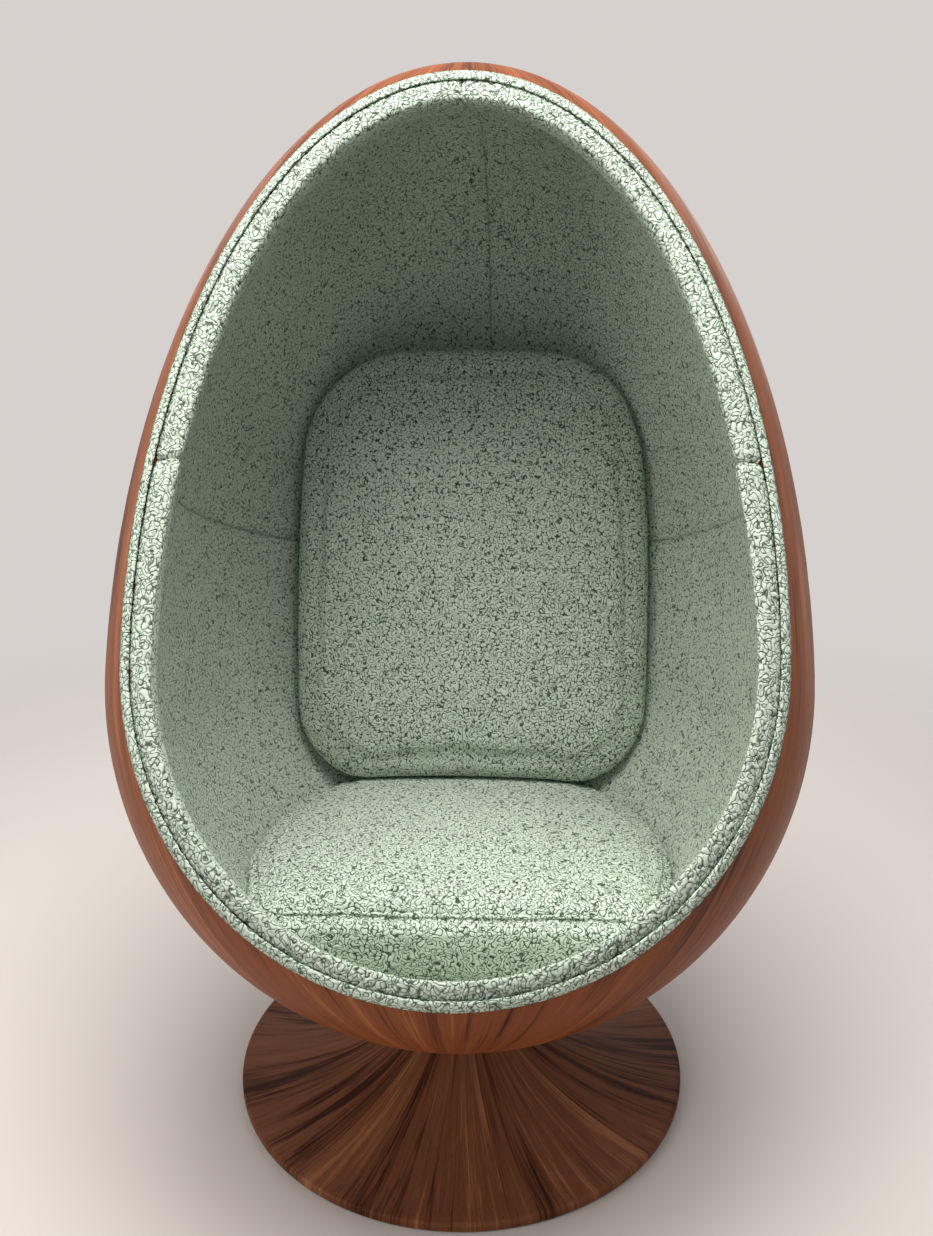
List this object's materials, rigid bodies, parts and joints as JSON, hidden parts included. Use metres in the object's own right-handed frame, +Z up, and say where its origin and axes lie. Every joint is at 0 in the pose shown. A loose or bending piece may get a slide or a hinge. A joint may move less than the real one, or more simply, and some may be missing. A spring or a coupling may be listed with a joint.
{
  "type": "pod chair",
  "caption": "Egg-shaped swivel pod chair: wood-veneered shell with a looped-fabric lining, loose seat and back cushions, and a trumpet foot.",
  "frame": {"origin": "on the floor, on the swivel axis, at the middle of the foot's underside", "axes": "+Z up along the swivel axis; the chair faces -Y; +X is to the right of someone who looks at its front"},
  "size_m": [0.8358, 0.864, 1.3311],
  "materials": {
    "shell_veneer": "satin lacquered walnut veneer",
    "foot_veneer": "satin lacquered walnut veneer laid in radial sectors",
    "boucle_lining": "sage green looped boucle",
    "boucle_welt": "sage green looped boucle over cord",
    "boucle_cushion": "sage green looped boucle",
    "inner_timber": "plain birch plywood",
    "painted_steel": "black powder coat",
    "plated_steel": "zinc plated",
    "ballast_iron": "as cast, blacked",
    "black_plastic": "matte",
    "bush_plastic": "matte acetal",
    "floor_felt": "pressed felt"
  },
  "bodies": {
    "base": {"floor_pad": "floor_felt", "base_plate": "painted_steel", "base_trumpet": "foot_veneer", "ballast_disc": "ballast_iron", "column_flange": "painted_steel", "column_bolts": "plated_steel", "column_tube": "painted_steel", "neck_spacer": "black_plastic", "lower_bush": "bush_plastic", "upper_bush": "bush_plastic", "thrust_washer": "bush_plastic"},
    "pod": {"swivel_spindle": "plated_steel", "retaining_ring": "plated_steel", "swivel_hub": "plated_steel", "swivel_plate": "painted_steel", "mounting_saddle": "black_plastic", "mounting_block": "inner_timber", "plate_bolts": "plated_steel", "plate_washers": "plated_steel", "plate_nuts": "plated_steel", "outer_shell": "shell_veneer", "rim_welt": "boucle_welt", "upper_left_pad": "boucle_lining", "upper_right_pad": "boucle_lining", "lower_left_pad": "boucle_lining", "lower_right_pad": "boucle_lining", "left_deck_rib": "inner_timber", "right_deck_rib": "inner_timber", "seat_deck": "inner_timber", "deck_screws": "plated_steel"},
    "seat_cushion": {"seat_cushion": "boucle_cushion"},
    "back_cushion": {"back_cushion": "boucle_cushion"}
  },
  "joints": [
    {"name": "swivel", "type": "hinge", "parent": "base", "child": "pod", "pos_m": [0, 0, 0.139], "axis": [0, 0, 1], "continuous": true},
    {"name": "seat_cushion_lift", "type": "slide", "parent": "pod", "child": "seat_cushion", "axis": [0, -0.5739, 0.8189], "range_m": [0, 0.15]},
    {"name": "back_cushion_lift", "type": "slide", "parent": "seat_cushion", "child": "back_cushion", "axis": [0, -0.866, 0.5], "range_m": [0, 0.15]}
  ]
}
